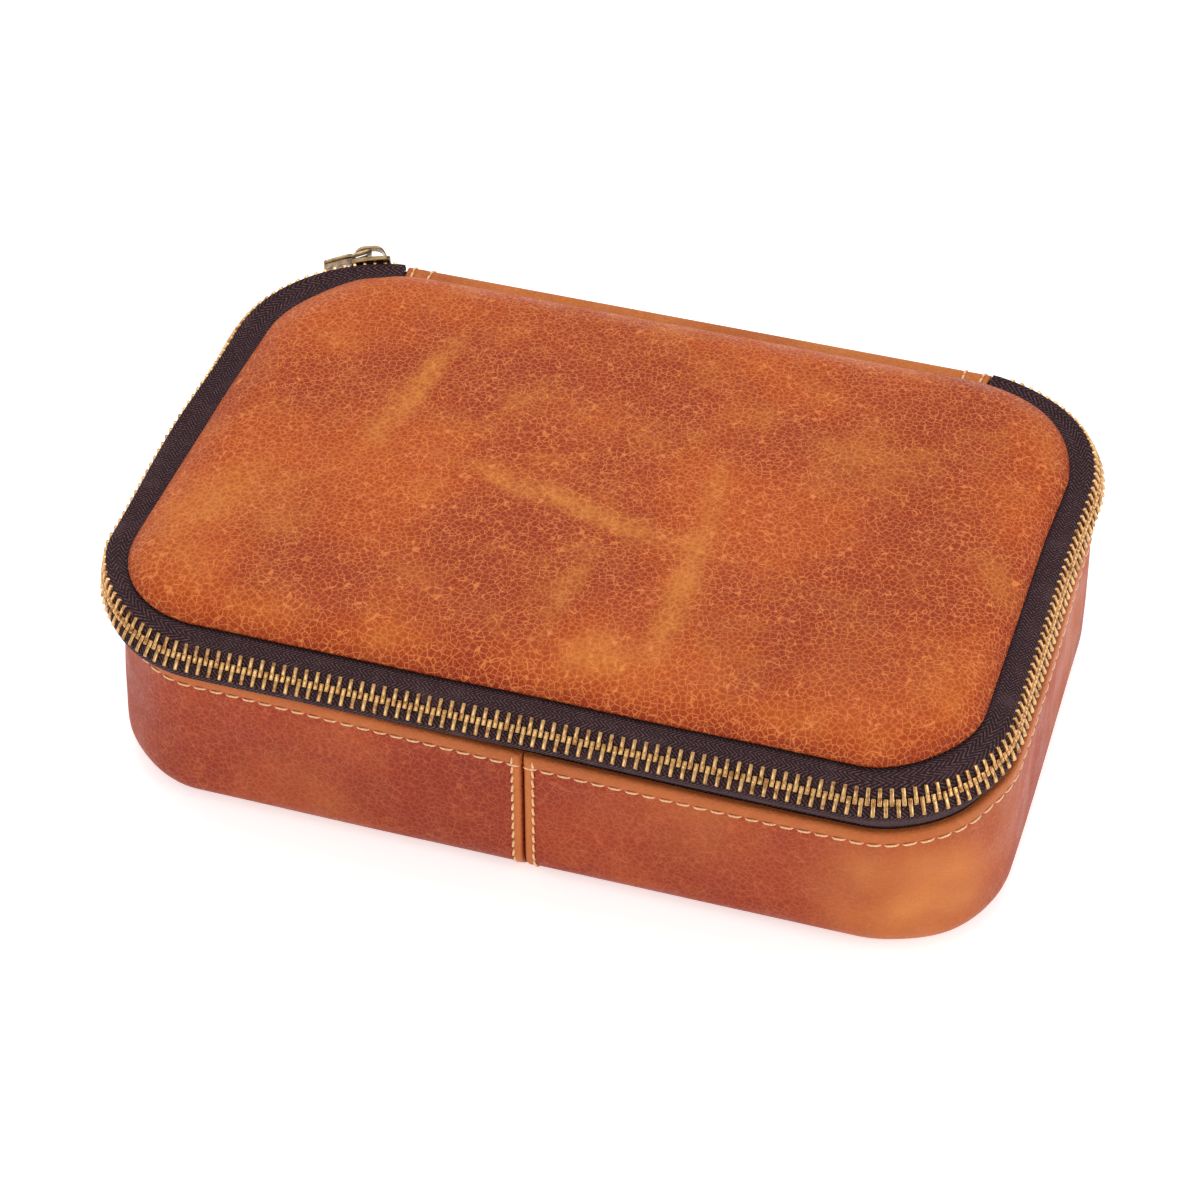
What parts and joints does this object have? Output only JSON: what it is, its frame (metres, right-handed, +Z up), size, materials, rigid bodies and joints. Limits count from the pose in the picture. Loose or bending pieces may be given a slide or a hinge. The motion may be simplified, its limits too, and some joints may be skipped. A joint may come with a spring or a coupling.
{
  "type": "shaving kit bag",
  "caption": "Rectangular pebbled leather shaving kit bag with rounded corners, a padded lid on a rear leather hinge strip and a wrap-round brass zip.",
  "frame": {"origin": "centre of the underside, on the flat rim that the bag stands on", "axes": "+X to the right along the width seen from the front, +Y to the rear where the lid's hinge strip is, +Z up"},
  "size_m": [0.2179, 0.1549, 0.0608],
  "materials": {
    "pebbled_leather": "pebbled pull-up leather, satin",
    "hinge_leather": "smoother tan leather, satin",
    "thread": "light peach sewing thread",
    "zip_tape": "dark plum-brown herringbone woven tape",
    "brass": "polished yellow brass",
    "antique_brass": "antique brass casting",
    "stiffener_board": "fibre board, matt",
    "foam": "soft foam",
    "cloth_lining": "plain woven dark brown cloth"
  },
  "bodies": {
    "case": {"wall_leather_left": "pebbled_leather", "wall_leather_right": "pebbled_leather", "front_seam_thread_left": "thread", "front_seam_thread_right": "thread", "rear_seam_thread_left": "thread", "rear_seam_thread_right": "thread", "rim_thread": "thread", "base_leather": "pebbled_leather", "base_board": "stiffener_board", "wall_board": "stiffener_board", "body_lining": "cloth_lining", "lower_zip_tape": "zip_tape", "lower_teeth_row": "brass", "zip_stop_left": "brass", "zip_stop_right": "brass", "hinge_leather": "hinge_leather", "hinge_lining": "cloth_lining", "hinge_thread_left_1": "thread", "hinge_thread_left_2": "thread", "hinge_thread_right_1": "thread", "hinge_thread_right_2": "thread", "upper_tape_end_left": "zip_tape", "upper_tape_end_right": "zip_tape", "upper_teeth_end_left": "brass", "upper_teeth_end_right": "brass"},
    "lid": {"lid_leather": "pebbled_leather", "lid_foam": "foam", "lid_board": "stiffener_board", "lid_lining": "cloth_lining", "upper_zip_tape": "zip_tape", "upper_teeth_row": "brass"},
    "slider": {"slider_body": "antique_brass", "slider_bridge": "antique_brass"},
    "pull": {"pull_tab": "antique_brass"}
  },
  "joints": [
    {"name": "lid_hinge", "type": "hinge", "parent": "case", "child": "lid", "pos_m": [0, 0.073, 0.05], "axis": [-1, 0, 0], "range_deg": [0, 195], "deforming": ["hinge_leather", "hinge_lining", "hinge_thread_left_1", "hinge_thread_left_2", "hinge_thread_right_1", "hinge_thread_right_2", "upper_tape_end_left", "upper_tape_end_right", "upper_teeth_end_left", "upper_teeth_end_right"]},
    {"name": "slider_travel", "type": "hinge", "parent": "case", "child": "slider", "pos_m": [-0.069, 0.0365, 0.05], "axis": [0, 0, 1], "range_deg": [0, 66]},
    {"name": "pull_swing", "type": "hinge", "parent": "slider", "child": "pull", "pos_m": [-0.08529, 0.07487, 0.05344], "axis": [-0.1954, 0.4603, -0.866], "range_deg": [0, 165]}
  ]
}
